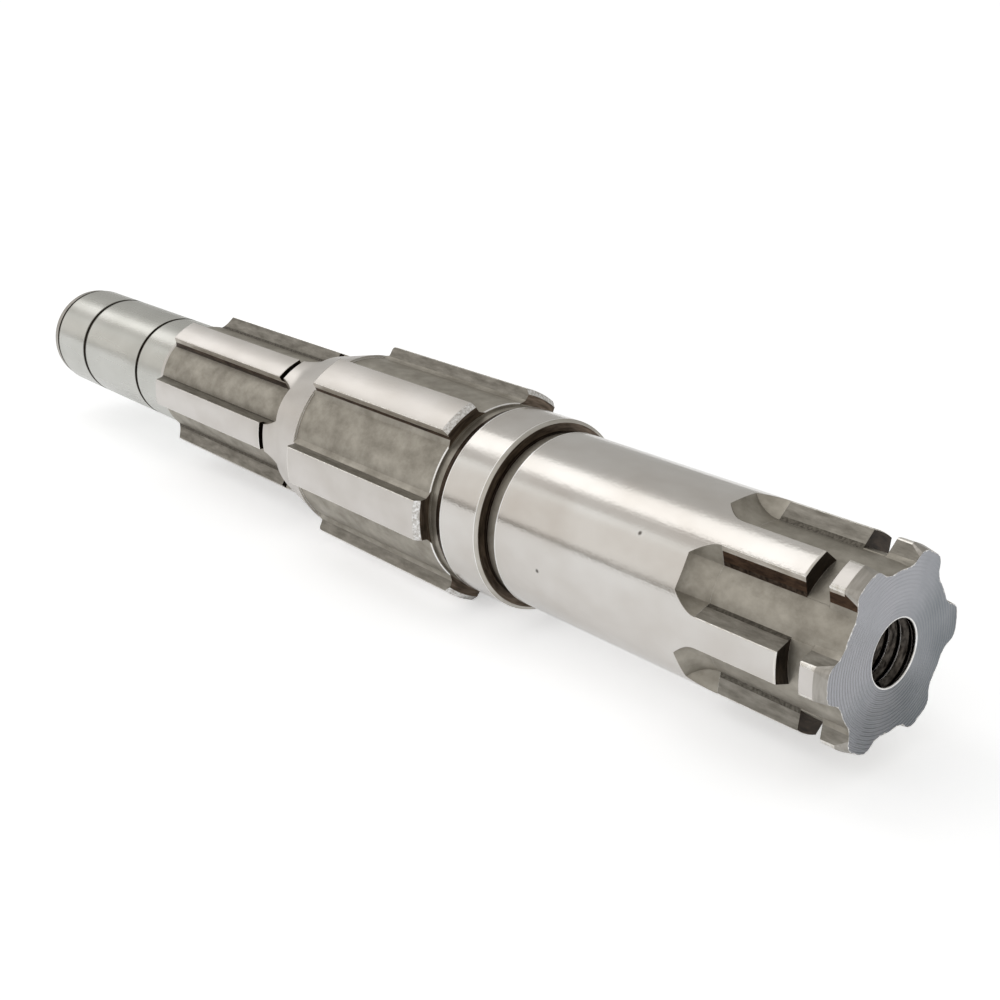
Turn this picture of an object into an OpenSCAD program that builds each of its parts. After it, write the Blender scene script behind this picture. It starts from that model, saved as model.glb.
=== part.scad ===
// Output countershaft of a small motorcycle gearbox: one solid piece of steel with three splines.
// It lies along X on two neighbouring teeth of the middle spline, and +Z is up. The origin is the
// centre of the threaded end face, and the shaft runs from there towards -X.
// Places along the shaft are distances from that end face, and each stretch starts where the last ends.

/* [Threaded end] */
// Diameter of the end face, where the lead-in chamfer meets it
end_face_d = 19.4; // [18.4:0.1:19.8]
// Length of the lead-in chamfer
end_chamfer_l = 1.3; // [0.3:0.1:2]
// Diameter of the threaded hole, inside the crests of its thread
hole_d = 6.65; // [4:0.05:8]
// Length of the threaded wall
hole_l = 18; // [8:0.5:30]
// Length of the cone that the drill leaves behind the thread
drill_tip_l = 1.9; // [0.5:0.1:4]

/* [Sprocket spline] */
// Diameter over the teeth, and of the bearing seat that goes on from them
seat_d = 20; // [19.9:0.1:21.8]
// Diameter between the teeth
sprocket_root_d = 16.2; // [14:0.1:17.5]
// Width of a tooth at its crest
sprocket_crest_w = 3.1; // [2:0.1:4]
// Width of a tooth at its root
sprocket_root_w = 4.4; // [4:0.1:5.5]
// Length of the lobes between the end face and the lock-plate groove
lobe_l = 2.9; // [2.1:0.1:6]
// Width of the lock-plate groove
lock_groove_w = 2.5; // [1:0.1:5]
// Height of the floor of that groove over the floors of the recesses
lock_floor_h = 0.1; // [0.05:0.05:0.5]
// Length of the recesses, from the end face to where they run out in the crest
sprocket_recess_l = 17.7; // [15:0.1:30]
// Turn of the sprocket spline about the shaft, in degrees from the middle spline
sprocket_turn = -2; // [-30:0.5:30]

/* [Bearing seat and collar] */
// Distance from the end face to the circlip groove beside the collar
seat_end = 43.2; // [32:0.1:60]
// Width of that circlip groove
seat_groove_w = 1.9; // [1:0.1:3]
// Depth of that circlip groove in the seat
seat_groove_depth = 0.5; // [0.2:0.1:1.5]
// Diameter of the collar
collar_d = 22; // [22:0.1:25]
// Width of the collar
collar_w = 6.4; // [3:0.1:12]
// Chamfer on both edges of the collar
collar_chamfer = 0.3; // [0.1:0.05:0.6]
// Width of the relief between the collar and the middle spline
relief_w = 1.8; // [1:0.1:4]
// Depth of the relief below the floors of the middle recesses
relief_depth = 0.4; // [0.1:0.1:1.5]

/* [Middle spline] */
// Diameter over the teeth
middle_d = 25.4; // [25:0.1:30]
// Diameter between the teeth
middle_root_d = 22; // [20.8:0.1:22.3]
// Width of a tooth
middle_tooth_w = 4.7; // [3:0.1:6]
// Length of the teeth
middle_l = 26; // [15:0.1:40]
// Chamfer at the near ends of the teeth
middle_chamfer = 0.6; // [0.1:0.1:1]
// Radius of the round at the far ends of the teeth
middle_round = 0.5; // [0.2:0.1:1]
// Distance by which the recesses reach past the teeth, into the flare
middle_reach = 0.5; // [0.2:0.1:1.5]

/* [Flare] */
// Diameter of the flare where the middle teeth end in it
flare_d = 22.9; // [22:0.1:23.2]
// Length of the flare
flare_l = 7.5; // [4:0.1:12]

/* [Far spline] */
// Diameter over the teeth
far_d = 19.5; // [18.8:0.1:20.4]
// Diameter between the teeth
far_root_d = 15.7; // [15.2:0.1:17]
// Width of a tooth
far_tooth_w = 3.6; // [2:0.1:5]
// Length of plain surface between the flare and the circlip groove across the teeth
far_land_l = 2.4; // [1.2:0.1:5]
// Width of the circlip groove across the teeth
far_groove_w = 1; // [0.5:0.1:2]
// Depth of that groove in the teeth
far_groove_depth = 0.7; // [0.2:0.1:0.8]
// Length of the teeth beyond the groove
far_teeth_l = 28.8; // [15:0.1:40]
// Length of the sloped far ends of the teeth
far_slope_l = 1.5; // [0.5:0.1:5]
// Distance by which the recesses reach past the groove, into the land
far_reach = 2.5; // [0.5:0.1:3]
// Turn of the far spline about the shaft, in degrees from the middle spline
far_turn = 2; // [-30:0.5:30]

/* [Far journal] */
// Diameter of the journal
journal_d = 15; // [12:0.1:15.1]
// Length of the journal, up to the chamfer of the far end
journal_l = 35.3; // [32:0.1:60]
// Length of the chamfer of the far end
far_chamfer_l = 1.2; // [0.3:0.1:3]
// Depth of the chamfer of the far end
far_chamfer_depth = 0.5; // [0.2:0.1:2]
// Distance from the chamfer to the first thin oil line round the journal
line_1_at = 0.2; // [0.1:0.1:3]
// Distance from the chamfer to the second thin line
line_2_at = 9.6; // [5:0.1:15]
// Distance from the chamfer to the third thin line
line_3_at = 26.5; // [18:0.1:30]
// Width of the thin lines
line_w = 0.5; // [0.2:0.05:1]
// Depth of the thin lines
line_depth = 0.25; // [0.1:0.05:0.6]
// Width of the lathe centre's cone in the far end face
centre_d = 4.2; // [2.5:0.1:6]
// Width of the small hole at the bottom of that cone
pilot_d = 2; // [1:0.1:2.4]
// Length of that small hole
pilot_l = 2.4; // [1:0.1:5]

/* [Splines] */
// Number of teeth on each spline
teeth = 6; // [5:1:7]
// Radius of the arc in which closed recesses run out
runout_r = 2.9; // [2.2:0.1:6]

/* [Hidden] */
$fn = 96;

// Room by which a cutter passes the surface that it opens
over = 1;
// Step that the run-out cutter leaves against the floor and the sides of a recess
cutter_step = 0.05;
// Angle between the side of a lathe centre's cone and the shaft
centre_angle = 30;

// Places along the shaft
collar_at = seat_end + seat_groove_w;
collar_end = collar_at + collar_w;
middle_at = collar_end + relief_w;
middle_end = middle_at + middle_l;
flare_end = middle_end + flare_l;
far_groove_at = flare_end + far_land_l;
far_teeth_at = far_groove_at + far_groove_w;
far_teeth_end = far_teeth_at + far_teeth_l;
journal_end = far_teeth_end + journal_l;
shaft_l = journal_end + far_chamfer_l;

// Radii
seat_r = seat_d / 2;
collar_r = collar_d / 2;
middle_r = middle_d / 2;
middle_root_r = middle_root_d / 2;
flare_r = flare_d / 2;
far_r = far_d / 2;
far_root_r = far_root_d / 2;
journal_r = journal_d / 2;
relief_r = middle_root_r - relief_depth;
seat_groove_r = seat_r - seat_groove_depth;

// How much of a tooth's half width is lost for each unit of height, from root to crest
function taper(outer_d, root_d, crest_w, root_w) = (root_w - crest_w) / (outer_d - root_d);

// Half width of the gap between two teeth, at height x above the shaft's axis in the gap's middle
function gap_half(x, root_d, root_w, t) =
    let (a = 180 / teeth)
    (x * (sin(a) + t * cos(a)) - root_w / 2 - t * root_d / 2) / (cos(a) - t * sin(a));

// Length along the shaft of a run-out, from the full floor to the crest
function runout_l(outer_d, root_d) =
    let (depth = (outer_d - root_d) / 2 - cutter_step)
    sqrt(runout_r * runout_r - pow(max(0, runout_r - depth), 2));

// Stands what is drawn along Z on the shaft's line, with its X side upwards
module along_shaft() {
    rotate([0, -90, 0])
        children();
}

// Ring that removes everything outside radius r over one stretch of the shaft
module ring_cut(at, w, r, outer_r) {
    translate([0, 0, at])
        rotate_extrude()
            translate([r, 0])
                square([outer_r + over - r, w]);
}

// Outline of the turned blank: radius to the right, distance from the end face upwards
module blank_outline() {
    difference() {
        polygon([
            [0, 0],
            [end_face_d / 2, 0],
            [seat_r, end_chamfer_l],
            [seat_r, seat_end],
            [seat_groove_r, seat_end],
            [seat_groove_r, collar_at],
            [collar_r - collar_chamfer, collar_at],
            [collar_r, collar_at + collar_chamfer],
            [collar_r, collar_end - collar_chamfer],
            [collar_r - collar_chamfer, collar_end],
            [relief_r, collar_end],
            [relief_r, middle_at],
            [middle_r - middle_chamfer, middle_at],
            [middle_r, middle_at + middle_chamfer],
            [middle_r, middle_end],
            [flare_r, middle_end],
            [far_r, flare_end],
            [far_r, far_teeth_end - far_slope_l],
            [journal_r, far_teeth_end],
            [journal_r, journal_end],
            [journal_r - far_chamfer_depth, shaft_l],
            [0, shaft_l]
        ]);
        // Round at the far ends of the middle teeth
        translate([middle_r - middle_round, middle_end - middle_round])
            difference() {
                square(middle_round + over);
                circle(middle_round);
            }
    }
}

// All gaps between the teeth of one spline, as a flat shape
module gaps(outer_d, root_d, crest_w, root_w) {
    t = taper(outer_d, root_d, crest_w, root_w);
    low = root_d / 4;
    high = outer_d / 2 + 2 * over;
    difference() {
        circle(d = outer_d + 2 * over);
        circle(d = root_d);
        for (i = [0 : teeth - 1])
            rotate(i * 360 / teeth)
                polygon([
                    [low, -root_w / 2 - t * (root_d / 2 - low)],
                    [high, -root_w / 2 + t * (high - root_d / 2)],
                    [high, root_w / 2 - t * (high - root_d / 2)],
                    [low, root_w / 2 + t * (root_d / 2 - low)]
                ]);
    }
}

// Round cutters that let the gaps run out to the crest, at distance `at` along the shaft
module runouts(at, outer_d, root_d, crest_w, root_w) {
    t = taper(outer_d, root_d, crest_w, root_w);
    floor_x = root_d / 2 + cutter_step;
    axis_x = floor_x + runout_r;
    floor_half = gap_half(floor_x, root_d, root_w, t) - cutter_step;
    axis_half = gap_half(axis_x, root_d, root_w, t) - cutter_step;
    for (i = [0 : teeth - 1])
        rotate((i + 0.5) * 360 / teeth)
            translate([axis_x, 0, at])
                rotate([90, 0, 0])
                    rotate_extrude()
                        polygon([
                            [0, -axis_half],
                            [runout_r, -floor_half],
                            [runout_r, floor_half],
                            [0, axis_half]
                        ]);
}

// Recesses of the sprocket spline and the groove in which its lock plate turns
module sprocket_cuts() {
    full_l = sprocket_recess_l - runout_l(seat_d, sprocket_root_d);
    rotate(180 / teeth + sprocket_turn) {
        translate([0, 0, -over])
            linear_extrude(height = full_l + over)
                gaps(seat_d, sprocket_root_d, sprocket_crest_w, sprocket_root_w);
        runouts(full_l, seat_d, sprocket_root_d, sprocket_crest_w, sprocket_root_w);
    }
    ring_cut(lobe_l, lock_groove_w, sprocket_root_d / 2 + lock_floor_h, seat_r);
}

// Recesses of the middle spline, open to the relief and ended by a small wall in the flare
module middle_cuts() {
    rotate(180 / teeth)
        translate([0, 0, collar_end])
            linear_extrude(height = middle_end + middle_reach - collar_end)
                gaps(middle_d, middle_root_d, middle_tooth_w, middle_tooth_w);
}

// Recesses of the far spline, closed in the land beside the flare, and the groove across its teeth
module far_cuts() {
    full_at = far_groove_at - far_reach + runout_l(far_d, far_root_d);
    rotate(180 / teeth + far_turn) {
        translate([0, 0, full_at])
            linear_extrude(height = far_teeth_end - full_at)
                gaps(far_d, far_root_d, far_tooth_w, far_tooth_w);
        runouts(full_at, far_d, far_root_d, far_tooth_w, far_tooth_w);
    }
    ring_cut(far_groove_at, far_groove_w, far_r - far_groove_depth, far_r);
}

// Threaded hole in the end face, drawn at the diameter inside its thread
module end_hole() {
    rotate_extrude()
        polygon([
            [0, -over],
            [hole_d / 2, -over],
            [hole_d / 2, hole_l],
            [0, hole_l + drill_tip_l]
        ]);
}

// Hole of the lathe centre in the far end face
module centre_hole() {
    cone_l = (centre_d - pilot_d) / 2 / tan(centre_angle);
    rotate_extrude()
        polygon([
            [0, shaft_l + over],
            [centre_d / 2, shaft_l + over],
            [centre_d / 2, shaft_l],
            [pilot_d / 2, shaft_l - cone_l],
            [pilot_d / 2, shaft_l - cone_l - pilot_l],
            [0, shaft_l - cone_l - pilot_l]
        ]);
}

module countershaft() {
    color("silver")
        along_shaft()
            difference() {
                rotate_extrude()
                    blank_outline();
                sprocket_cuts();
                middle_cuts();
                far_cuts();
                for (line_at = [line_1_at, line_2_at, line_3_at])
                    ring_cut(journal_end - line_at - line_w, line_w, journal_r - line_depth, journal_r);
                end_hole();
                centre_hole();
            }
}

countershaft();
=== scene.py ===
# %% [markdown]
# # A gearbox countershaft
# This lesson dresses one piece of machined steel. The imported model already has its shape, but only a
# plain surface. What makes such a part look real is what its makers left on it: ground journals that
# mirror the room, matt floors where a disc cutter ran, fine rings from the lathe on the end face,
# dark oil in the grooves, and a thin bright line along every edge. So the shaft is built again here
# with those edges as real faces, and each kind of surface gets its own finish.

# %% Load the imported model
import math
import bpy
import bmesh
from mathutils import Matrix, Vector, noise


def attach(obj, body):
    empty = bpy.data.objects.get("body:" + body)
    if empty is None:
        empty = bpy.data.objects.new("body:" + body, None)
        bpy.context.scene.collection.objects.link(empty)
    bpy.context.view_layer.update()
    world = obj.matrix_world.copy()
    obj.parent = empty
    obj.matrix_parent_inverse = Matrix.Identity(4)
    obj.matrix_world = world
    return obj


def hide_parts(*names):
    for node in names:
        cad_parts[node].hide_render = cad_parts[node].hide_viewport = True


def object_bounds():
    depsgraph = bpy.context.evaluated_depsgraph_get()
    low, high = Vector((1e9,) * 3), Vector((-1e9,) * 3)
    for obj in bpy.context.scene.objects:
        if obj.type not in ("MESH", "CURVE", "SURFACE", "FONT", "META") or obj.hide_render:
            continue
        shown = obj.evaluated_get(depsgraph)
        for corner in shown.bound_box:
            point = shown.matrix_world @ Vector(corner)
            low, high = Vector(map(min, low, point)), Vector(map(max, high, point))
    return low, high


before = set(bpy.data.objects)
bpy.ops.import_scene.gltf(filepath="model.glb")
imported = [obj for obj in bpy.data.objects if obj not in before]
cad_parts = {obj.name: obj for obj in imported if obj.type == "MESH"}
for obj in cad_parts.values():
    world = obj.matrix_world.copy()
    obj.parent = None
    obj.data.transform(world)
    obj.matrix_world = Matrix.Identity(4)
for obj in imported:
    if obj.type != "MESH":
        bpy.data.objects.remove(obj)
cad_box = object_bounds()
print("nodes:", sorted(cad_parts), "box:", [[round(c, 4) for c in corner] for corner in cad_box])

# %% [markdown]
# ## The camera
# The photograph was taken from close by, so the near end looks much larger than the far one. The
# camera's place was found by fitting circles round the shaft to the picture, and is only written down
# here: three directions that stand square to each other, a place in metres and a lens in millimetres.

# %% Camera
camera_data = bpy.data.cameras.new("camera")
camera_data.sensor_width = 36
camera_data.lens = 52.42
camera_data.clip_start = 0.005
camera = bpy.data.objects.new("camera", camera_data)
bpy.context.scene.collection.objects.link(camera)
camera_right = Vector((0.65318, 0.75720, 0.0))
camera_back = Vector((0.70990, -0.61238, 0.34791))
camera_up = camera_back.cross(camera_right)
camera_place = Vector((0.06548, -0.10289, 0.05789))
camera.matrix_world = Matrix((
    (camera_right.x, camera_up.x, camera_back.x, camera_place.x),
    (camera_right.y, camera_up.y, camera_back.y, camera_place.y),
    (camera_right.z, camera_up.z, camera_back.z, camera_place.z),
    (0, 0, 0, 1)))
bpy.context.scene.camera = camera
print("camera stands", round(camera_place.length * 1000), "mm from the end face")

# %% [markdown]
# ## Colours and nodes
# Colours are written as on a screen, in hex, and one function turns them into the linear light that
# the renderer counts in. A second function adds one node, sets its values and links its inputs.

# %% Helpers for materials
def colour(code):
    parts = [int(code[i:i + 2], 16) / 255 for i in (1, 3, 5)]
    return [c / 12.92 if c <= 0.04045 else ((c + 0.055) / 1.055) ** 2.4 for c in parts] + [1.0]


def add(tree, kind, settings=(), **inputs):
    """Adds a node. An input is given by name, or by number as i0, i1 and so on."""
    node = tree.nodes.new(kind)
    for name, value in dict(settings).items():
        setattr(node, name, value)
    for name, value in inputs.items():
        numbered = name[0] == "i" and name[1:].isdigit()
        socket = node.inputs[int(name[1:]) if numbered else name.replace("_", " ")]
        if isinstance(value, bpy.types.NodeSocket):
            tree.links.new(value, socket)
        else:
            socket.default_value = value
    return node


def new_material(name):
    material = bpy.data.materials.new(name)
    material.use_nodes = True
    return material, material.node_tree, material.node_tree.nodes["Principled BSDF"]


print("mid grey in linear light:", round(colour("#808080")[0], 3))

# %% [markdown]
# ## Finish 1: ground steel
# Journals and the crests of the teeth are ground: a wheel takes off a few hundredths of a millimetre
# and leaves hair-fine lines round the shaft. They spread a reflection along the shaft a little and
# keep it sharp round it. The lines are 0.1 mm apart here, as fine as the render can show. A slow
# change in roughness gives the soft streaks that wiping with an oily rag leaves, and a faint grain
# of 0.4 mm frays the edges of the reflections. The bearing seat also has two tiny pits, and the far
# journal is ground a little coarser.

# %% Ground steel
# Noise cells in a metre, along the shaft and across it: 9000 is a mark every 0.1 mm.
grinding_lines = (9000, 260, 260)
rag_streaks = (60, 420, 420)
oil_clouds = (110, 160, 160)
peel_grain = (2600, 2600, 2600)


def surface_space(tree, stretch):
    place = add(tree, "ShaderNodeTexCoord").outputs["Object"]
    return add(tree, "ShaderNodeMapping", i0=place, i3=stretch).outputs[0]


def soft_edge(tree, radius=0.00012):
    """Rounds the shading over every sharp edge by a tenth of a millimetre, as handling wears it."""
    return add(tree, "ShaderNodeBevel", {"samples": 4}, Radius=radius).outputs[0]


def ground_steel(name, tint, tint_oiled, roughness, pits=()):
    """`pits` are places on the surface, in metres, of small dark pits about 0.4 mm wide."""
    material, tree, shader = new_material(name)
    lines = add(tree, "ShaderNodeTexNoise", i0=surface_space(tree, grinding_lines), Scale=1.0, Detail=2.0)
    rag = add(tree, "ShaderNodeTexNoise", i0=surface_space(tree, rag_streaks), Scale=1.0, Detail=3.0)
    oil = add(tree, "ShaderNodeTexNoise", i0=surface_space(tree, oil_clouds), Scale=1.0, Detail=3.0)
    peel = add(tree, "ShaderNodeTexNoise", i0=surface_space(tree, peel_grain), Scale=1.0, Detail=2.0)
    tone = add(tree, "ShaderNodeMapRange", i0=oil.outputs[0], i1=0.35, i2=0.7)
    mixed = add(tree, "ShaderNodeMix", {"data_type": "RGBA"}, i0=tone.outputs[0],
                i6=colour(tint), i7=colour(tint_oiled))
    place = add(tree, "ShaderNodeTexCoord").outputs["Object"]
    for pit in pits:
        far = add(tree, "ShaderNodeVectorMath", {"operation": "DISTANCE"}, i0=place, i1=pit).outputs["Value"]
        inside = add(tree, "ShaderNodeMapRange", i0=far, i1=0.0001, i2=0.0003, i3=0.85, i4=0.0)
        mixed = add(tree, "ShaderNodeMix", {"data_type": "RGBA"}, i0=inside.outputs[0],
                    i6=mixed.outputs[2], i7=colour("#3A322C"))
    spread = add(tree, "ShaderNodeMapRange", i0=rag.outputs[0], i1=0.3, i2=0.75,
                 i3=roughness - 0.04, i4=roughness + 0.07)
    dent = add(tree, "ShaderNodeBump", Strength=0.10, Distance=0.00002,
               Height=lines.outputs[0], Normal=soft_edge(tree))
    grain = add(tree, "ShaderNodeBump", Strength=0.8, Distance=0.00001,
                Height=peel.outputs[0], Normal=dent.outputs[0])
    wave = add(tree, "ShaderNodeBump", Strength=0.10, Distance=0.00002,
               Height=rag.outputs[0], Normal=grain.outputs[0])
    tree.links.new(mixed.outputs[2], shader.inputs["Base Color"])
    tree.links.new(spread.outputs[0], shader.inputs["Roughness"])
    tree.links.new(wave.outputs[0], shader.inputs["Normal"])
    shader.inputs["Metallic"].default_value = 1.0
    return material


ground = ground_steel("ground_steel", "#DCD9D5", "#CFCAC4", 0.17,
                      pits=[(-0.02418, -0.00779, 0.00626), (-0.03644, -0.00994, -0.00107)])
crest = ground_steel("ground_crest", "#DAD6D2", "#CBC6C0", 0.33)
journal = ground_steel("ground_journal", "#CDCDC8", "#BFBFB9", 0.27)
print("made", ground.name, crest.name, journal.name)

# %% [markdown]
# ## Finish 2: milled recesses
# The gaps between the teeth were cut by a disc cutter and hardened afterwards, and nobody ground them.
# They are matt, a little olive, and mottled by heat and oil. Short marks run along the shaft, the way
# the cutter fed, about 0.4 mm apart. The inner corners get painted shade: the Ambient Occlusion node
# finds what has walls within 1.3 mm, and that is painted darker brown. Rough metal is still metal, so
# the shader stays metallic and only its roughness rises.

# %% Milled steel
feed_marks = (300, 2600, 2600)
hardened_grain = (5200, 5200, 5200)


def milled_steel(name, pale, dark, roughness, mottling):
    """`mottling` says how many clouds of `pale` and `dark` a metre holds, along the shaft and across."""
    material, tree, shader = new_material(name)
    feed = add(tree, "ShaderNodeTexNoise", i0=surface_space(tree, feed_marks), Scale=1.0, Detail=3.0)
    heat = add(tree, "ShaderNodeTexNoise", i0=surface_space(tree, mottling), Scale=1.0, Detail=6.0, Roughness=0.62)
    grain = add(tree, "ShaderNodeTexNoise", i0=surface_space(tree, hardened_grain), Scale=1.0, Detail=2.0)
    tone = add(tree, "ShaderNodeMapRange", i0=heat.outputs[0], i1=0.33, i2=0.68)
    clean = add(tree, "ShaderNodeMix", {"data_type": "RGBA"}, i0=tone.outputs[0], i6=colour(dark), i7=colour(pale))
    # Painted shade: where walls stand within 1.3 mm, the colour is mixed towards dark brown.
    openness = add(tree, "ShaderNodeAmbientOcclusion", {"samples": 4}, Distance=0.0013).outputs["AO"]
    painted_corner_shade = add(tree, "ShaderNodeMapRange", i0=openness, i1=0.4, i2=0.85, i3=0.6, i4=0.0)
    mixed = add(tree, "ShaderNodeMix", {"data_type": "RGBA"}, i0=painted_corner_shade.outputs[0],
                i6=clean.outputs[2], i7=colour("#3F362D"))
    spread = add(tree, "ShaderNodeMapRange", i0=heat.outputs[0], i1=0.3, i2=0.7,
                 i3=roughness + 0.08, i4=roughness - 0.06)
    coarse = add(tree, "ShaderNodeBump", Strength=0.5, Distance=0.00004,
                 Height=feed.outputs[0], Normal=soft_edge(tree))
    fine = add(tree, "ShaderNodeBump", Strength=0.5, Distance=0.00003,
               Height=grain.outputs[0], Normal=coarse.outputs[0])
    tree.links.new(mixed.outputs[2], shader.inputs["Base Color"])
    tree.links.new(spread.outputs[0], shader.inputs["Roughness"])
    tree.links.new(fine.outputs[0], shader.inputs["Normal"])
    shader.inputs["Metallic"].default_value = 1.0
    return material


milled = milled_steel("milled_floor", "#B6B1A7", "#969187", 0.50, (330, 420, 420))
milled_flank = milled_steel("milled_flank", "#9B978F", "#7B776F", 0.46, (420, 1500, 1500))
# Painted highlight: this pale finish goes on the upper strip of flanks that face down.
flank_painted_highlight = milled_steel("flank_painted_highlight", "#D6D0C8", "#ACA498", 0.38, (420, 1500, 1500))
# Painted shade: this dark brown finish is the band low down on flanks that face down.
flank_painted_shade = milled_steel("flank_painted_shade", "#5E4A3B", "#291E18", 0.42, (420, 1300, 1300))
print("made", milled.name, milled_flank.name, flank_painted_highlight.name, flank_painted_shade.name)

# %% [markdown]
# ## Finish 3: the turned end face
# A lathe tool faced the end, and its point left a spiral that looks like rings 0.4 mm apart. The rings
# are a wave over the distance from the shaft's axis. The bar sat a little askew in the chuck, so they
# are deeper towards one side. A straight gradient of painted shade darkens the other side, with soft
# clouds of darker tone over it. The face is cooler in colour than the rest.

# %% Turned face
def turned_face(name, tint, ring_spacing, roughness):
    """`tint` is the clean colour and the darker one that painted shade and clouds reach, and the rings are
    `ring_spacing` metres apart.
    """
    material, tree, shader = new_material(name)
    place = add(tree, "ShaderNodeTexCoord").outputs["Object"]
    wobble = add(tree, "ShaderNodeTexNoise", i0=place, Scale=300.0, Detail=2.0)
    shifted = add(tree, "ShaderNodeMix", {"data_type": "VECTOR"}, i0=0.00035, i4=place, i5=wobble.outputs[1])
    rings = add(tree, "ShaderNodeTexWave", {"wave_type": "RINGS", "rings_direction": "X"}, i0=shifted.outputs[1],
                Scale=math.pi / (10 * ring_spacing), Distortion=0.0)
    dust = add(tree, "ShaderNodeTexNoise", i0=place, Scale=3500.0, Detail=3.0)
    cloud = add(tree, "ShaderNodeTexNoise", i0=place, Scale=260.0, Detail=3.0)
    side = add(tree, "ShaderNodeVectorMath", {"operation": "DOT_PRODUCT"}, i0=place, i1=(0, -0.55, -0.83))
    deeper = add(tree, "ShaderNodeMapRange", i0=side.outputs["Value"], i1=-0.001, i2=0.0075, i3=0.18, i4=1.0)
    depth = add(tree, "ShaderNodeMath", {"operation": "MULTIPLY"}, i0=rings.outputs[1], i1=deeper.outputs[0])
    # Painted shade: a straight gradient across the face darkens one side of it.
    painted_side_shade = add(tree, "ShaderNodeVectorMath", {"operation": "DOT_PRODUCT"}, i0=place, i1=(0, 75.0, -45.0))
    patchy = add(tree, "ShaderNodeMath", {"operation": "ADD"}, i0=painted_side_shade.outputs["Value"], i1=cloud.outputs[0])
    tone = add(tree, "ShaderNodeMapRange", i0=patchy.outputs[0], i1=0.1, i2=1.2)
    mixed = add(tree, "ShaderNodeMix", {"data_type": "RGBA"}, i0=tone.outputs[0],
                i6=colour(tint[0]), i7=colour(tint[1]))
    cut = add(tree, "ShaderNodeBump", Strength=1.0, Distance=0.00019, Height=depth.outputs[0])
    fine = add(tree, "ShaderNodeBump", Strength=0.3, Distance=0.00002,
               Height=dust.outputs[0], Normal=cut.outputs[0])
    tree.links.new(mixed.outputs[2], shader.inputs["Base Color"])
    tree.links.new(fine.outputs[0], shader.inputs["Normal"])
    shader.inputs["Roughness"].default_value = roughness
    shader.inputs["Metallic"].default_value = 1.0
    return material


faced = turned_face("turned_end_face", ("#ABACB1", "#7C8186"), 0.00038, 0.34)
print("made", faced.name)

# %% [markdown]
# ## Finish 4: edges, grooves and thread
# These are plainer. Every edge was broken with a file or a chamfer tool, which leaves a narrow bright strip.
# Grooves and the ends of the teeth keep old oil, which turns brown-black. Flank feet get painted shade,
# dark where a flank faces down and lighter grey where it faces up. The thread in the hole is dark with oil
# and painted shade, its flanks still shine, and its crests are painted white as glints.

# %% Plain finishes
def round_noise(tree, along, around, outward):
    """A noise that changes fast along the shaft and outwards, and slowly round it, as turning marks do."""
    place = add(tree, "ShaderNodeTexCoord").outputs["Object"]
    flat = add(tree, "ShaderNodeVectorMath", {"operation": "MULTIPLY"}, i0=place, i1=(0, 1, 1)).outputs[0]
    radius = add(tree, "ShaderNodeVectorMath", {"operation": "LENGTH"}, i0=flat).outputs["Value"]
    rim = add(tree, "ShaderNodeVectorMath", {"operation": "NORMALIZE"}, i0=flat).outputs[0]
    wide = add(tree, "ShaderNodeVectorMath", {"operation": "SCALE"}, i0=rim, Scale=around).outputs[0]
    where = add(tree, "ShaderNodeVectorMath", {"operation": "MULTIPLY_ADD"}, i0=place, i1=(along, 0, 0), i2=wide)
    out = add(tree, "ShaderNodeMath", {"operation": "MULTIPLY"}, i0=radius, i1=outward).outputs[0]
    return add(tree, "ShaderNodeTexNoise", {"noise_dimensions": "4D"}, Vector=where.outputs[0], W=out,
               Scale=1.0, Detail=3.0).outputs[0]


def plain_steel(name, tint, tint_dark, roughness, spacing):
    """Turned or filed steel with marks `spacing` millimetres apart."""
    material, tree, shader = new_material(name)
    patch = round_noise(tree, 1000 / spacing, 6.0, 1000 / spacing)
    tone = add(tree, "ShaderNodeMapRange", i0=patch, i1=0.35, i2=0.65)
    mixed = add(tree, "ShaderNodeMix", {"data_type": "RGBA"}, i0=tone.outputs[0],
                i6=colour(tint), i7=colour(tint_dark))
    dent = add(tree, "ShaderNodeBump", Strength=0.3, Distance=0.00003, Height=patch, Normal=soft_edge(tree))
    tree.links.new(mixed.outputs[2], shader.inputs["Base Color"])
    tree.links.new(dent.outputs[0], shader.inputs["Normal"])
    shader.inputs["Roughness"].default_value = roughness
    shader.inputs["Metallic"].default_value = 1.0
    return material


broken_edge = plain_steel("broken_edge", "#F2F0EC", "#D6D1C8", 0.26, 0.5)
fresh_edge = plain_steel("fresh_edge", "#FFFFFF", "#F0EEEA", 0.30, 0.5)
turned = plain_steel("turned_steel", "#CCC8C1", "#BDB8AF", 0.32, 0.4)
oiled = plain_steel("oiled_groove", "#2B2520", "#473D34", 0.40, 0.35)
stained = plain_steel("stained_wall", "#74675B", "#494037", 0.40, 0.25)
# Painted shade at flank feet: a lighter grey line where a flank faces up, and a dark line where it faces down; the
# dark line also marks oil in the grooves.
foot_painted_shade_soft = plain_steel("foot_painted_shade_soft", "#6C6860", "#4C4842", 0.42, 0.25)
oil_and_shade_line = plain_steel("oil_and_shade_line", "#2A211B", "#54483E", 0.38, 0.4)
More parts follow.
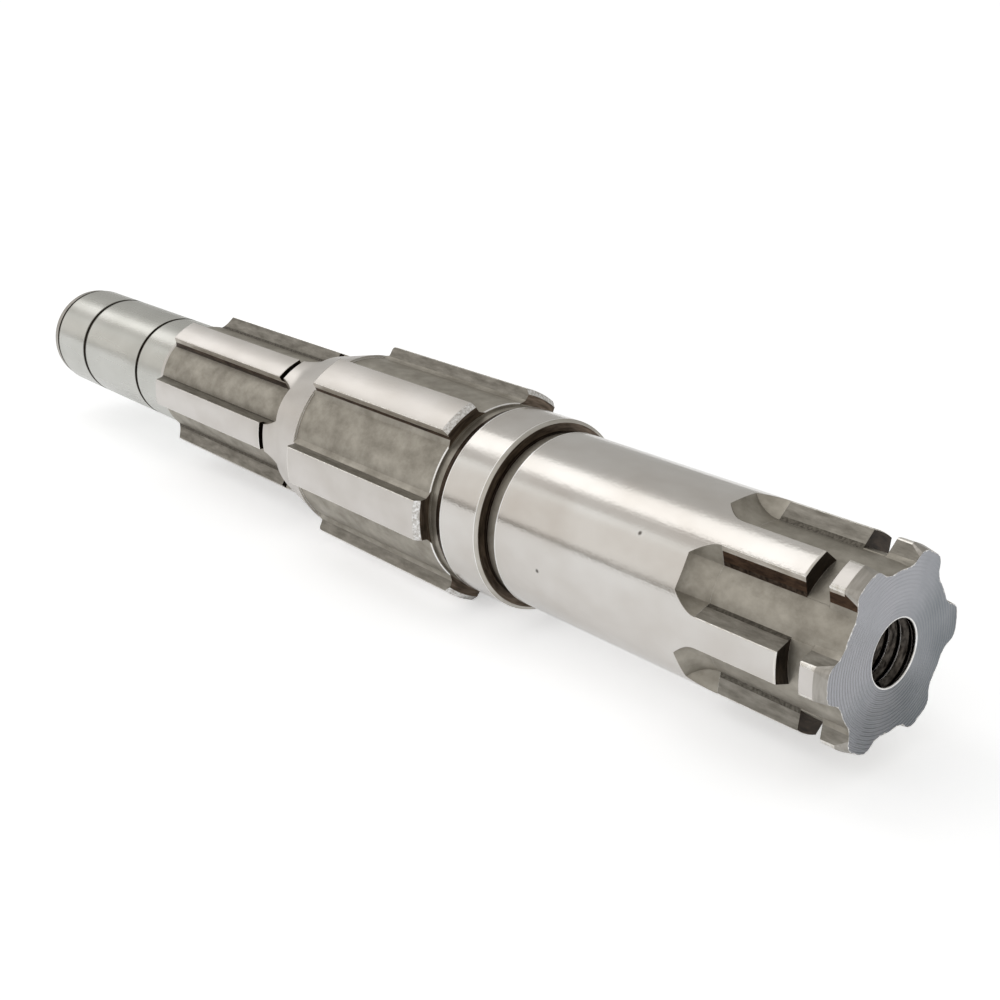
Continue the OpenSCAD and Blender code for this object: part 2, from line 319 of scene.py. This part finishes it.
# The thread's dark colour is oil and painted shade of the deep hole.
thread_oil_and_shade = plain_steel("thread_oil_and_shade", "#57524D", "#1D1A18", 0.20, 0.25)
lead_in = plain_steel("turned_lead_in", "#B6B2AC", "#A19D96", 0.36, 0.3)
line_edge = plain_steel("line_edge", "#6A6B64", "#4E4F49", 0.40, 0.5)
filed = milled_steel("filed_edge", "#FFFFFF", "#B4AFA8", 0.34, (3400, 3400, 3400))
finishes = [ground, crest, journal, milled, milled_flank, flank_painted_highlight, flank_painted_shade, faced, broken_edge,
            fresh_edge, turned, lead_in, oiled, stained, foot_painted_shade_soft, oil_and_shade_line, line_edge, thread_oil_and_shade, filed]
slot = {material.name: i for i, material in enumerate(finishes)}
print("finishes:", list(slot))

# %% [markdown]
# ## The turned blank
# A lathe makes a shaft as one outline turned about one axis, and Blender's spin does the same. The
# outline is a list of places along the shaft and radii, in millimetres. Each line says which finish
# the stretch from there to the next place has. The places repeat those of the part's source, with a
# narrow strip added at each edge, and with soft curves where the flare meets the land and where the
# far teeth end. `along` is the distance from the threaded end face.

# %% Outline of the blank
break_w = 0.1
outline = [
    # the hole, from the drill's tip to its mouth: the thread is a piece of its own in the wide stretch
    (19.9, 0.0, "oiled_groove"), (18.0, 3.325, "oiled_groove"), (17.0, 3.325, "oiled_groove"),
    (17.0, 4.15, "oiled_groove"), (0.25, 4.15, "oiled_groove"), (0.25, 3.325, "broken_edge"),
    (0.1, 3.3, "fresh_edge"), (0.02, 3.34, "fresh_edge"), (0.0, 3.45, "turned_end_face"),
    # lead-in chamfer, lobes and lock-plate groove
    (0.0, 9.7, "turned_lead_in"), (1.3, 10.0, "ground_crest"),
    (2.9 - break_w, 10.0, "broken_edge"), (2.9, 10.0 - break_w, "oiled_groove"), (2.9, 8.2, "milled_floor"),
    (5.4, 8.2, "oiled_groove"), (5.4, 10.0 - break_w, "broken_edge"),
    # seat, circlip groove and collar
    (5.4 + 2 * break_w, 10.0, "ground_steel"), (43.2 - 0.16, 10.0, "fresh_edge"), (43.2, 10.0, "turned_steel"),
    (43.2, 9.5, "milled_floor"), (44.85, 9.5, "oil_and_shade_line"), (45.1, 9.5, "oiled_groove"),
    (45.1, 9.72, "stained_wall"), (45.1, 10.62, "turned_steel"),
    (45.36, 11.0, "fresh_edge"), (45.5, 11.0, "ground_steel"), (51.08, 11.0, "fresh_edge"),
    (51.22, 11.0, "turned_steel"), (51.5, 10.7, "turned_steel"),
    # relief, middle teeth and flare
    (51.5, 10.6, "oil_and_shade_line"), (52.3, 10.6, "milled_floor"), (53.3, 10.6, "milled_floor"),
    (53.3, 10.86, "stained_wall"), (53.3, 10.99, "stained_wall"), (53.3, 12.1, "filed_edge"),
    (53.9, 12.7, "ground_crest"), (78.8, 12.7, "broken_edge"), (79.0, 12.66, "turned_steel"),
    (79.15, 12.55, "turned_steel"), (79.26, 12.4, "turned_steel"), (79.3, 12.2, "turned_steel"),
    (79.3, 11.45, "ground_crest"),
    # land, circlip groove, far teeth
    (86.0, 9.931, "ground_crest"), (86.32, 9.866, "ground_crest"), (86.64, 9.815, "ground_crest"),
    (86.96, 9.779, "ground_crest"), (87.28, 9.757, "ground_crest"), (87.6, 9.75, "ground_crest"),
    (89.2 - 0.06, 9.75, "broken_edge"),
    (89.2, 9.69, "oiled_groove"), (89.2, 9.05, "oiled_groove"), (90.2, 9.05, "oiled_groove"),
    (90.2, 9.69, "broken_edge"), (90.2 + 0.06, 9.75, "ground_crest"), (117.4, 9.75, "ground_crest"),
    (117.6, 9.35, "ground_crest"), (117.9, 8.85, "ground_crest"), (118.25, 8.42, "ground_crest"),
    (118.65, 8.05, "ground_crest"), (119.1, 7.76, "ground_crest"), (119.6, 7.58, "ground_crest"),
    # far journal with its three thin lines, stained at their edges, and the chamfered end
    (120.2, 7.5, "ground_journal"), (127.15, 7.5, "line_edge"), (127.3, 7.5, "oil_and_shade_line"),
    (127.34, 7.25, "oil_and_shade_line"), (127.76, 7.25, "oil_and_shade_line"), (127.8, 7.5, "line_edge"),
    (127.95, 7.5, "ground_journal"), (143.95, 7.5, "line_edge"), (144.2, 7.5, "oil_and_shade_line"),
    (144.24, 7.25, "oil_and_shade_line"), (144.66, 7.25, "oil_and_shade_line"), (144.7, 7.5, "line_edge"),
    (144.95, 7.5, "ground_journal"),
    (153.4, 7.5, "line_edge"), (153.6, 7.5, "oil_and_shade_line"), (153.64, 7.25, "oil_and_shade_line"),
    (154.06, 7.25, "oil_and_shade_line"), (154.1, 7.42, "turned_lead_in"), (155.25, 7.3, "turned_lead_in"),
    (155.5, 7.0, "turned_end_face"),
    # hole of the lathe centre
    (155.5, 2.15, "broken_edge"), (155.45, 2.07, "turned_steel"), (153.595, 1.0, "oiled_groove"),
    (151.195, 1.0, "oiled_groove"), (151.195, 0.0, "oiled_groove"),
]
MM = 0.001
print("outline of", len(outline), "places, longest at", max(p[0] for p in outline), "mm")


# %% Turn the blank
turn_steps = 192


def point(along, radius, angle=0.0):
    """Angle 0 is up, and it grows towards the side away from the camera."""
    return Vector((-along, radius * math.sin(angle), radius * math.cos(angle))) * MM


def spun(bm, verts, edges):
    """Turns a chain of edges once about the shaft's axis."""
    bmesh.ops.spin(bm, geom=verts + edges, cent=(0, 0, 0), axis=(1, 0, 0), angle=2 * math.pi, steps=turn_steps,
                   use_merge=True)
    bmesh.ops.remove_doubles(bm, verts=bm.verts, dist=1e-7)


def chain(bm, places, closed=False):
    """Edges from place to place of an outline, in the plane over the shaft's axis."""
    verts = [bm.verts.new(point(along, radius)) for along, radius in places]
    pairs = list(zip(verts, verts[1:])) + ([(verts[-1], verts[0])] if closed else [])
    return verts, [bm.edges.new(pair) for pair in pairs]


def as_object(bm, name, materials=finishes):
    """Turns the mesh into an object at the origin, with its normals outwards and its slots filled."""
    bmesh.ops.recalc_face_normals(bm, faces=bm.faces)
    mesh = bpy.data.meshes.new(name)
    bm.to_mesh(mesh)
    bm.free()
    for material in materials:
        mesh.materials.append(material)
    piece = bpy.data.objects.new(name, mesh)
    bpy.context.scene.collection.objects.link(piece)
    return piece


def finish_at(place):
    """Slot of the outline's stretch on which a face's middle lies."""
    along, radius = -place.x / MM, math.hypot(place.y, place.z) / MM
    best = min(zip(outline, outline[1:]), key=lambda pair: distance_to(pair, along, radius))
    return slot[best[0][2]]


def distance_to(pair, along, radius):
    (a0, r0, _), (a1, r1, _) = pair
    length = (a1 - a0) ** 2 + (r1 - r0) ** 2
    t = max(0.0, min(1.0, ((along - a0) * (a1 - a0) + (radius - r0) * (r1 - r0)) / length))
    return math.hypot(along - a0 - t * (a1 - a0), radius - r0 - t * (r1 - r0))


bm = bmesh.new()
verts, edges = chain(bm, [(along, radius) for along, radius, _ in outline])
spun(bm, verts, edges)
for face in bm.faces:
    face.material_index = finish_at(face.calc_center_median())
shaft = as_object(bm, "shaft")
print("blank:", len(shaft.data.polygons), "faces")

# %% [markdown]
# ## Cutting the splines
# A spline is a blank with gaps milled out of it. The cutter for one spline is a ring from the floor of
# the gaps to above the crests, with the teeth taken out of it: what stays is exactly the waste. The
# section of a tooth in this ring is rounded at the crest and may flare out at the foot, so the cut
# leaves worn edges and soft corners by itself, and no bevel has to find its way round it afterwards.
# The six lobes at the threaded end are worn most, so their section changes from place to place.

# %% Spline cutter
def boolean(target, tool):
    """Cuts the tool out of the target and keeps the result as triangles, which the next cut takes best."""
    modifier = target.modifiers.new("cut", "BOOLEAN")
    modifier.object = tool
    modifier.operation = "DIFFERENCE"
    modifier.solver = "EXACT"
    modifier.material_mode = "TRANSFER"
    bpy.context.view_layer.update()
    mesh = bpy.data.meshes.new_from_object(target.evaluated_get(bpy.context.evaluated_depsgraph_get()))
    target.modifiers.clear()
    flat = bmesh.new()
    flat.from_mesh(mesh)
    bmesh.ops.triangulate(flat, faces=flat.faces)
    flat.to_mesh(mesh)
    flat.free()
    old, target.data = target.data, mesh
    bpy.data.meshes.remove(old)
    tool_mesh = tool.data
    bpy.data.objects.remove(tool)
    bpy.data.meshes.remove(tool_mesh)
    return target


foot_h = 0.14


def tooth_section(spline, edge, foot, drop=0.0):
    """A tooth's cross section: crest lower by `drop` and rounded over `edge`, foot flared by `foot`."""
    crest_r, root_r = spline["crest_r"], spline["root_r"]
    lean = (spline["root_w"] - spline["crest_w"]) / 2 / (crest_r - root_r)

    def flank(height, flare=0.0):
        return Vector((0, spline["crest_w"] / 2 + lean * (crest_r - height) + flare, height))

    def on_circle(radius):
        height = radius
        for _ in range(4):
            height = math.sqrt(radius ** 2 - flank(height).y ** 2)
        return height

    corner_h, root_h = on_circle(crest_r - drop), on_circle(root_r)
    corner, below = flank(corner_h), flank(corner_h - edge)
    beside = Vector((0, corner.y - edge, math.sqrt((crest_r - drop) ** 2 - (corner.y - edge) ** 2)))
    turned = [below * (1 - k) ** 2 + corner * 2 * k * (1 - k) + beside * k ** 2 for k in (0.33, 0.67)]
    over = beside + (beside - turned[1]) * 0.6
    half = [flank(root_r - 1.0), flank(root_h - 0.3, 1.1 * foot), flank(root_h + 0.15, 0.4 * foot),
            flank(root_r + foot_h, 0.1 * foot), flank(min(root_r + spline["shade_band_h"], corner_h - edge - 0.05)),
            below, *turned, over,
            Vector((0, over.y / 2, crest_r + 0.9))]
    return [Vector((0, -v.y, v.z)) for v in half] + half[::-1]


def repeat_six(bm, first, turn):
    """Turns a piece about the shaft by some degrees and adds five copies, 60 degrees apart."""
    bmesh.ops.rotate(bm, verts=bm.verts, cent=(0, 0, 0), matrix=Matrix.Rotation(-math.radians(turn), 3, "X"))
    for i in range(1, 6):
        copy = bmesh.ops.duplicate(bm, geom=first)
        bmesh.ops.rotate(bm, verts=[v for v in copy["geom"] if isinstance(v, bmesh.types.BMVert)],
                         cent=(0, 0, 0), matrix=Matrix.Rotation(-i * math.pi / 3, 3, "X"))


def tooth_wedges(name, spline, start, end):
    """Prisms of the six teeth, from station to station along the shaft."""
    plain = (spline["edge"], spline.get("foot", 0.0))
    stations = [(start, *plain), (end, *plain)]
    if "wear" in spline:
        stations = [(start, *spline["wear"][0][1:]), *spline["wear"], (end, *plain)]
    bm = bmesh.new()
    section = tooth_section(spline, *stations[0][1:])
    face = bm.faces.new([bm.verts.new((corner + Vector((-start, 0, 0))) * MM) for corner in section])
    for (along, *shape), (next_along, *next_shape) in zip(stations, stations[1:]):
        before, after = tooth_section(spline, *shape), tooth_section(spline, *next_shape)
        made = bmesh.ops.extrude_face_region(bm, geom=[face])["geom"]
        for vert in [v for v in made if isinstance(v, bmesh.types.BMVert)]:
            place = Vector((0, vert.co.y, vert.co.z)) / MM
            i = min(range(len(before)), key=lambda k: (before[k] - place).length)
            vert.co = (after[i] + Vector((-next_along, 0, 0))) * MM
        if along != start:
            bmesh.ops.delete(bm, geom=[face], context="FACES_ONLY")
        face = [f for f in made if isinstance(f, bmesh.types.BMFace)][0]
    bmesh.ops.recalc_face_normals(bm, faces=bm.faces)
    for f in bm.faces:
        middle = f.calc_center_median() / MM
        height = middle.z
        tilted = abs(f.normal.y) < 0.9
        if tilted and height > spline["root_r"] + 0.5:
            f.material_index = slot["turned_lead_in" if middle.x > -1.3 else "broken_edge"]
        elif tilted or (height < spline["root_r"] + foot_h and middle.x > -5.4):
            f.material_index = slot["milled_floor"]
        # Painted shade on the flanks: a dark foot line, and a dark band up to the height set for each spline.
        elif height < spline["root_r"] + foot_h:
            f.material_index = slot["oil_and_shade_line"]
        elif height < spline["root_r"] + spline["shade_band_h"]:
            f.material_index = slot["flank_painted_shade"]
        else:
            f.material_index = slot["milled_flank"]
    first = bm.verts[:] + bm.edges[:] + bm.faces[:]
    repeat_six(bm, first, 30 + spline["turn"])
    return as_object(bm, name)


def gap_ring(name, spline, start, end):
    """A ring from the floor of the gaps to above the crests. A lip lets its floor start further in."""
    bm = bmesh.new()
    corners = spline.get("lip", [(start, spline["root_r"])]) + [
        (end, spline["root_r"]), (end, spline["crest_r"] + 0.6), (start, spline["crest_r"] + 0.6)]
    verts, edges = chain(bm, corners, closed=True)
    spun(bm, verts, edges)
    for face in bm.faces:
        face.normal_update()
        face.material_index = slot["fresh_edge" if abs(face.normal.x) > 0.3 else "milled_floor"]
    return as_object(bm, name)


def gap_cutter(spline, start, end):
    """The waste of all six gaps: the ring without the teeth."""
    ring = gap_ring("gap_ring", spline, start, end)
    return boolean(ring, tooth_wedges("teeth", spline, start - 1, end + 1))


# A height key of each spline says how far the band of painted shade reaches up a flank that faces down, in mm.
sprocket_spline = dict(crest_r=10.0, root_r=8.1, crest_w=3.1, root_w=4.4, turn=-2, edge=0.07, shade_band_h=1.2,
                       # wear of the lobes: place along the shaft, rounding, flare of the foot, drop of the crest
                       wear=[(0.0, 0.8, 0.55, 0.3), (1.3, 0.3, 0.3), (2.92, 0.25, 0.25), (3.0, 0.07, 0.0),
                             (5.4, 0.07, 0.0)])
middle_spline = dict(crest_r=12.7, root_r=11.0, crest_w=4.7, root_w=4.7, turn=0, edge=0.12, shade_band_h=0.6, foot=0.65,
                     lip=[(52.4, 10.88), (53.32, 10.88), (53.44, 11.0)])
far_spline = dict(crest_r=9.75, root_r=7.85, crest_w=3.6, root_w=3.6, turn=2, edge=0.07, shade_band_h=0.8)
print("oil on the flanks up to", [s["shade_band_h"] for s in (sprocket_spline, middle_spline, far_spline)], "mm")

# %% [markdown]
# The gaps of the sprocket and far splines are closed at one end. There the disc cutter left the work
# and its round rim left an arc from the floor to the crest. So each gap also gets one disc, turned
# about an axis that lies across the shaft.

# %% Run-outs
runout_r = 2.9
runout_step = 0.02
disc_steps = 96
rim_points = 6


def runout_discs(name, spline, at):
    """Six discs with the section of a gap on their rims. `at` is the place of their axes along the shaft."""
    lean = (spline["root_w"] - spline["crest_w"]) / 2 / (spline["crest_r"] - spline["root_r"])
    floor = spline["root_r"] + runout_step / 2

    def half(height):
        """Half of the gap's width at a height over the shaft's axis."""
        sine, cosine = math.sin(math.pi / 6), math.cos(math.pi / 6)
        return ((height * (sine + lean * cosine) - spline["root_w"] / 2 - lean * spline["root_r"])
                / (cosine - lean * sine)) - runout_step

    axis = floor + runout_r
    edge = floor
    for _ in range(8):
        edge = math.sqrt(floor ** 2 - half(edge) ** 2)
    wide = half(edge)
    across_floor = [wide * k / rim_points for k in range(rim_points, -rim_points - 1, -1)]
    rim = [(half(axis), 0.0)] + [(y, axis - math.sqrt(floor ** 2 - y ** 2)) for y in across_floor]
    rim.append((-half(axis), 0.0))
    bm = bmesh.new()
    verts = [bm.verts.new(Vector((-radius, across, 0)) * MM) for across, radius in rim]
    edges = [bm.edges.new(pair) for pair in zip(verts, verts[1:])]
    bmesh.ops.spin(bm, geom=verts + edges, cent=(0, 0, 0), axis=(0, 1, 0), angle=2 * math.pi, steps=disc_steps,
                   use_merge=True)
    bmesh.ops.remove_doubles(bm, verts=bm.verts, dist=1e-7)
    for face in bm.faces:
        face.material_index = slot["milled_floor"]
    bmesh.ops.translate(bm, verts=bm.verts, vec=Vector((-at, 0, axis)) * MM)
    repeat_six(bm, bm.verts[:] + bm.edges[:] + bm.faces[:], spline["turn"])
    return as_object(bm, name)


def runout_length(spline):
    """How far a disc's rim reaches beyond its axis at the crests."""
    depth = spline["crest_r"] - spline["root_r"] - 0.05
    return math.sqrt(runout_r ** 2 - max(0.0, runout_r - depth) ** 2)


sprocket_gap_end, far_gap_start = 17.7, 86.7
sprocket_full = sprocket_gap_end - runout_length(sprocket_spline)
far_full = far_gap_start + runout_length(far_spline)
for waste in (gap_cutter(sprocket_spline, -1.0, sprocket_full),
              runout_discs("sprocket_runouts", sprocket_spline, sprocket_full),
              gap_cutter(middle_spline, 52.4, 79.8), gap_cutter(far_spline, far_full, 119.5),
              runout_discs("far_runouts", far_spline, far_full)):
    boolean(shaft, waste)
print("shaft after the cuts:", len(shaft.data.polygons), "faces")

# %% [markdown]
# ## Clean edges
# Cutting leaves doubled points and long thin faces. Doubles are merged, and the shading is told which
# edges are sharp by the angle between their faces. Everything below 6 degrees is a round surface.
# The rim of the end face is worn and a little ragged: it is bevelled, and a noise pushes its points
# inwards. Flanks of the teeth that face down keep a dark band of painted shade low down and get a painted
# highlight on their upper strip. Flanks that face up lose the band and get a lighter painted shade at the foot.

# %% Clean the mesh
rim_spacing, rim_wear = 0.25, 0.38
bm = bmesh.new()
bm.from_mesh(shaft.data)
bmesh.ops.remove_doubles(bm, verts=bm.verts, dist=2e-6)
bmesh.ops.dissolve_degenerate(bm, edges=bm.edges, dist=1e-6)
bmesh.ops.recalc_face_normals(bm, faces=bm.faces)


def on_rim(edge):
    return (all(abs(v.co.x) < 1e-7 and math.hypot(v.co.y, v.co.z) > 0.005 for v in edge.verts)
            and len(edge.link_faces) == 2 and edge.calc_face_angle() > 0.3)


for edge in [e for e in bm.edges if on_rim(e) and e.calc_length() > 0.4 * MM]:
    bmesh.ops.subdivide_edges(bm, edges=[edge], cuts=int(edge.calc_length() / (rim_spacing * MM)))
rim = [e for e in bm.edges if on_rim(e)]
worn = bmesh.ops.bevel(bm, geom=rim, offset=rim_wear * MM, offset_type="OFFSET", segments=2, profile=0.5,
                       affect="EDGES", clamp_overlap=True, material=-1)
for face in worn["faces"]:
    face.material_index = slot["filed_edge"]
for vert in {v for face in worn["faces"] for v in face.verts}:
    nudge = (noise.noise(vert.co * 1500) * 0.3 + noise.noise(vert.co * 4200) * 0.2) * MM
    if vert.co.x > -1e-7:
        outwards = Vector((0, vert.co.y, vert.co.z)).normalized()
        vert.co -= outwards * abs(nudge)
    elif vert.co.x < -0.25 * MM:
        vert.co.x -= abs(nudge)
# Painted light chosen by facing: flanks that face down get a painted highlight above their painted shade band, and
# flanks that face up lose that band.
hanging = {slot["milled_flank"]: slot["flank_painted_highlight"]}
standing = {slot["flank_painted_shade"]: slot["milled_flank"], slot["oil_and_shade_line"]: slot["foot_painted_shade_soft"]}
for face in bm.faces:
    face.smooth = True
    face.normal_update()
    middle = face.calc_center_median()
    outwards = Vector((0, middle.y, middle.z)).normalized()
    if abs(face.normal.x) < 0.1 and abs(face.normal.dot(outwards)) < 0.75:
        change = standing if face.normal.z > -0.1 else hanging
        face.material_index = change.get(face.material_index, face.material_index)
print("worn edges of the end face:", len(rim))
print("open edges:", sum(not e.is_manifold for e in bm.edges), "faces:", len(bm.faces))
bm.to_mesh(shaft.data)
bm.free()
shaft.data.set_sharp_from_angle(angle=math.radians(6))
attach(shaft, "root")
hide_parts("countershaft")
print("shaft:", len(shaft.data.vertices), "points")

# %% [markdown]
# ## The thread
# An M8 thread climbs 1.25 mm with each turn. One tooth of its outline is spun about the axis while it
# moves along it, which gives the whole helix. It sits in the wide stretch of the hole, so the shaft
# hides its outer side.

# %% Thread in the end face
pitch, crest_r, root_r = 1.25, 3.34, 3.9
thread_turns = 13
thread_steps = 72
bm = bmesh.new()
verts, edges = chain(bm, [(0.0, crest_r), (0.14, crest_r), (0.5, root_r - 0.05), (0.6, root_r), (0.75, root_r),
                          (0.85, root_r - 0.05), (1.25, crest_r)])
bmesh.ops.translate(bm, verts=verts, vec=Vector((-0.1, 0, 0)) * MM)
bmesh.ops.rotate(bm, verts=verts, cent=(0, 0, 0), matrix=Matrix.Rotation(math.pi, 3, "X"))
bmesh.ops.spin(bm, geom=verts + edges, cent=(0, 0, 0), axis=(1, 0, 0), angle=2 * math.pi * thread_turns,
               steps=thread_steps * thread_turns, dvec=Vector((-pitch / thread_steps, 0, 0)) * MM)
bmesh.ops.remove_doubles(bm, verts=bm.verts, dist=1e-6)
for face in bm.faces:
    face.smooth = True
    middle = face.calc_center_median()
    # Painted glints: the thread's crests take the white fresh edge finish.
    glint_crest = math.hypot(middle.y, middle.z) < (crest_r + 0.02) * MM
    face.material_index = slot["fresh_edge" if glint_crest else "thread_oil_and_shade"]
thread = as_object(bm, "end_thread")
bm = bmesh.new()
bm.from_mesh(thread.data)
for face in bm.faces:
    middle = face.calc_center_median()
    if face.normal.dot(Vector((0, middle.y, middle.z))) > 0.0 and abs(face.normal.x) < 0.99:
        face.normal_flip()
bm.to_mesh(thread.data)
bm.free()
thread.data.set_sharp_from_angle(angle=math.radians(35))
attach(thread, "root")
print("thread:", len(thread.data.polygons), "faces")

# %% [markdown]
# ## Floor, room and lamps
# Polished steel shows the room more than itself. The floor is matt and nearly white, and a faint glow
# that only the camera and reflections see lifts it to white, so it throws no extra light on the shaft
# and keeps its shadow. The room is pale, greyer behind the shaft, with a dark skirting in front and a
# bright line high up. Its tones are listed by the angle from straight up, in degrees, positive towards
# the front. One long lamp hangs over the shaft and makes the bright band along the journals.

# %% Floor
floor_z = cad_box[0][2]
lift_to_camera, lift_in_steel = 0.46, 0.3
bm = bmesh.new()
bmesh.ops.create_grid(bm, x_segments=1, y_segments=1, size=6.0)
bmesh.ops.translate(bm, verts=bm.verts, vec=(0, 0, floor_z))
material, tree, shader = new_material("white_paper")
shader.inputs["Base Color"].default_value = colour("#F1F3F6")
shader.inputs["Roughness"].default_value = 0.9
path = add(tree, "ShaderNodeLightPath")
mirrored = add(tree, "ShaderNodeMath", {"operation": "MAXIMUM"}, i0=path.outputs["Is Glossy Ray"],
               i1=path.outputs["Is Transmission Ray"])
in_steel = add(tree, "ShaderNodeMath", {"operation": "MULTIPLY"}, i0=mirrored.outputs[0], i1=lift_in_steel)
lift = add(tree, "ShaderNodeMath", {"operation": "MULTIPLY_ADD"}, i0=path.outputs["Is Camera Ray"],
           i1=lift_to_camera, i2=in_steel.outputs[0])
tree.links.new(lift.outputs[0], shader.inputs["Emission Strength"])
shader.inputs["Emission Color"].default_value = (1, 1, 1, 1)
floor = as_object(bm, "floor", [material])
print("floor at", round(floor_z * 1000, 2), "mm")

# %% Room
world = bpy.data.worlds.new("room")
bpy.context.scene.world = world
world.use_nodes = True
tree = world.node_tree
background = tree.nodes["Background"]
direction = add(tree, "ShaderNodeTexCoord").outputs["Generated"]
split = add(tree, "ShaderNodeSeparateXYZ", i0=direction)
front = add(tree, "ShaderNodeMath", {"operation": "MULTIPLY"}, i0=split.outputs["Y"], i1=-1.0)
around = add(tree, "ShaderNodeMath", {"operation": "ARCTAN2"}, i0=front.outputs[0], i1=split.outputs["Z"])
turned_by = add(tree, "ShaderNodeMapRange", i0=around.outputs[0], i1=-math.pi / 2, i2=math.pi / 2)
walls = add(tree, "ShaderNodeValToRGB", i0=turned_by.outputs[0])
tones = [(-90, "#B6B5B2"), (-20, "#C2C1BE"), (18, "#DAD7D3"), (24, "#D2CFCB"), (32, "#D2CFCB"),
         (37, "#FFFFFD"), (42, "#FFFFFD"), (46, "#F1EEEA"), (82, "#F1EEEA"), (86, "#A6A29C"), (90, "#8A8680")]
while len(walls.color_ramp.elements) < len(tones):
    walls.color_ramp.elements.new(0.5)
for stop, (angle, code) in zip(walls.color_ramp.elements, tones):
    stop.position = (angle + 90) / 180
    stop.color = colour(code)
seen = add(tree, "ShaderNodeLightPath").outputs["Is Camera Ray"]
shown = add(tree, "ShaderNodeMix", {"data_type": "RGBA"}, i0=seen, i6=walls.outputs[0], i7=(1, 1, 1, 1))
tree.links.new(shown.outputs[2], background.inputs[0])
background.inputs[1].default_value = 1.0
print("tones of the room:", len(tones))


# %% Lamps
def lamp(name, place, aim, width, depth, power):
    """A rectangular lamp: places and sizes in metres, power in watts."""
    data = bpy.data.lights.new(name, "AREA")
    data.shape = "RECTANGLE"
    data.size, data.size_y = width, depth
    data.energy = power
    piece = bpy.data.objects.new(name, data)
    piece.location = place
    piece.rotation_euler = (Vector(aim) - Vector(place)).to_track_quat("-Z", "Y").to_euler()
    bpy.context.scene.collection.objects.link(piece)
    return piece


ceiling = lamp("ceiling_lamp", (-1.5, -0.11, 1.0), aim=(-1.5, -0.11, 0.0), width=2.2, depth=0.46, power=2.75)
print("lamps:", ceiling.name)

# %% Standard view
bpy.context.scene.view_settings.view_transform = "Standard"
